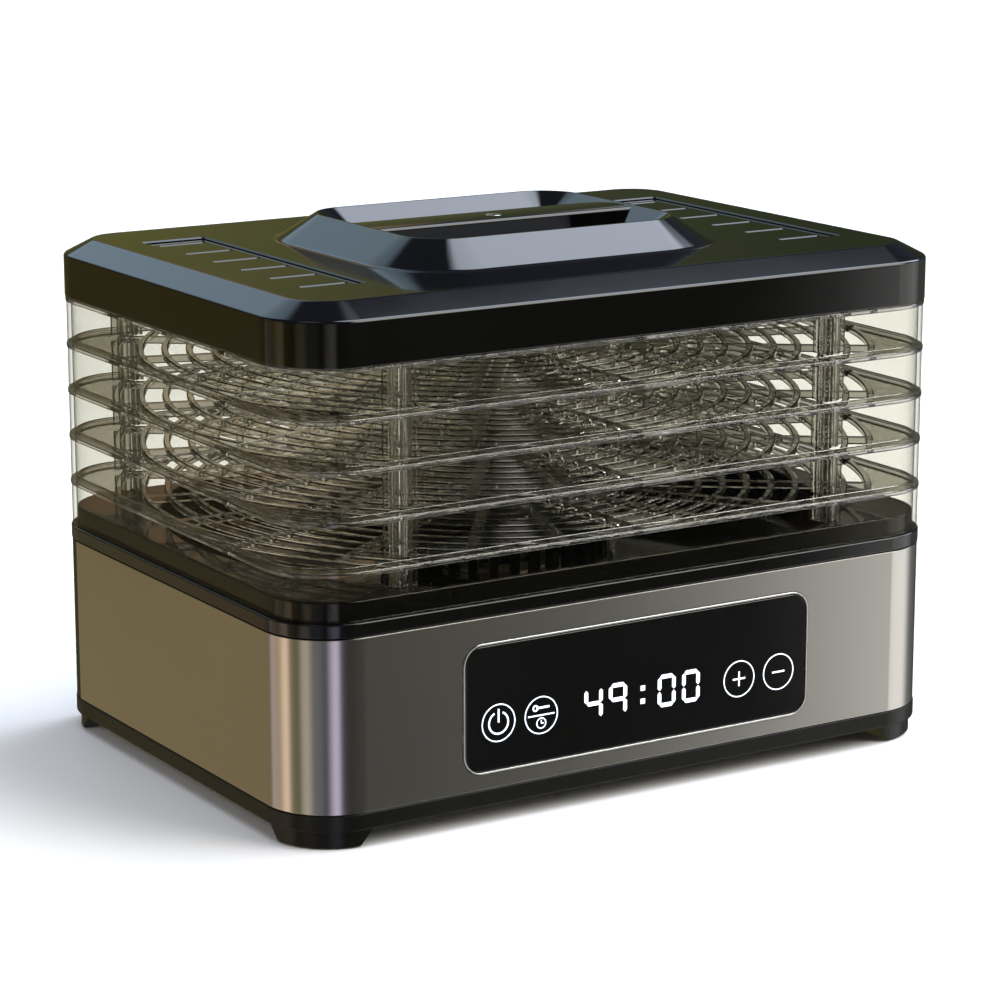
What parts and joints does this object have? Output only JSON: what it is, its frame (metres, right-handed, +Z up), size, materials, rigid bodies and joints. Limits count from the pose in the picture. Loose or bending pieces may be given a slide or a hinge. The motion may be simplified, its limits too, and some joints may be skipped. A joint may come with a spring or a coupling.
{
  "type": "food dehydrator",
  "caption": "Rectangular countertop food dehydrator: metal-banded fan base with a touch panel, clear stacking mesh trays and a black lid with a recessed grip bar.",
  "frame": {"origin": "centre of the plan outline, on the ground under the foot pads", "axes": "+X to the right seen from the front, -Y out of the front with the touch panel, +Z up"},
  "size_m": [0.33, 0.2376, 0.2364],
  "materials": {
    "satin_black_plastic": "satin black moulded plastic",
    "gloss_black_plastic": "high-gloss black moulded plastic",
    "clear_tray_plastic": "clear moulded plastic with a faint warm tint",
    "graphite_steel": "satin graphite-coloured sheet metal",
    "bright_steel": "bright steel",
    "black_rubber": "matt black rubber",
    "panel_glass": "smoked glossy panel",
    "dark_component": "dark moulded plastic",
    "circuit_board": "green circuit board",
    "mica_board": "mica sheet",
    "heater_wire": "resistance wire",
    "yellow_component": "wrapped transformer",
    "red_component": "dipped capacitor",
    "green_component": "terminal block plastic"
  },
  "bodies": {
    "base": {"base_tub": "satin_black_plastic", "rear_cover": "satin_black_plastic", "intake_grille": "satin_black_plastic", "outlet_grille": "satin_black_plastic", "fan_shroud": "satin_black_plastic", "top_deck": "gloss_black_plastic", "metal_band": "graphite_steel", "panel_bezel": "bright_steel", "motor_bracket": "bright_steel", "fan_motor": "bright_steel", "heat_shield": "bright_steel", "thermal_fuse": "bright_steel", "touch_spring_1": "bright_steel", "touch_spring_2": "bright_steel", "touch_spring_3": "bright_steel", "touch_spring_4": "bright_steel", "deck_screw_front_left": "bright_steel", "deck_screw_rear_left": "bright_steel", "deck_screw_front_right": "bright_steel", "deck_screw_rear_right": "bright_steel", "bracket_screw_left": "bright_steel", "bracket_screw_right": "bright_steel", "panel_screw_left": "bright_steel", "panel_screw_right": "bright_steel", "foot_pad_front_left": "black_rubber", "foot_pad_rear_left": "black_rubber", "foot_pad_front_right": "black_rubber", "foot_pad_rear_right": "black_rubber", "cord_grommet": "black_rubber", "control_glass": "panel_glass", "display_module": "dark_component", "temperature_sensor": "dark_component", "heater_relay": "dark_component", "control_board": "circuit_board", "power_board": "circuit_board", "heater_frame": "mica_board", "heater_coil": "heater_wire", "power_transformer": "yellow_component", "mains_capacitor": "red_component", "mains_terminal": "green_component"},
    "fan": {"fan_impeller": "dark_component", "motor_shaft": "bright_steel"},
    "tray_5_body": {"tray_5": "clear_tray_plastic"},
    "tray_4_body": {"tray_4": "clear_tray_plastic"},
    "tray_3_body": {"tray_3": "clear_tray_plastic"},
    "tray_2_body": {"tray_2": "clear_tray_plastic"},
    "tray_1_body": {"tray_1": "clear_tray_plastic"},
    "lid": {"lid_shell": "gloss_black_plastic", "grip_screw": "bright_steel"}
  },
  "joints": [
    {"name": "fan_spin", "type": "hinge", "parent": "base", "child": "fan", "pos_m": [0, 0, 0.055], "axis": [0, 0, 1], "continuous": true},
    {"name": "tray_5_lift", "type": "slide", "parent": "base", "child": "tray_5_body", "axis": [0, 0, 1], "range_m": [0, 0.03]},
    {"name": "tray_4_lift", "type": "slide", "parent": "tray_5_body", "child": "tray_4_body", "axis": [0, 0, 1], "range_m": [0, 0.03]},
    {"name": "tray_3_lift", "type": "slide", "parent": "tray_4_body", "child": "tray_3_body", "axis": [0, 0, 1], "range_m": [0, 0.03]},
    {"name": "tray_2_lift", "type": "slide", "parent": "tray_3_body", "child": "tray_2_body", "axis": [0, 0, 1], "range_m": [0, 0.03]},
    {"name": "tray_1_lift", "type": "slide", "parent": "tray_2_body", "child": "tray_1_body", "axis": [0, 0, 1], "range_m": [0, 0.03]},
    {"name": "lid_lift", "type": "slide", "parent": "tray_1_body", "child": "lid", "axis": [0, 0, 1], "range_m": [0, 0.04]}
  ]
}
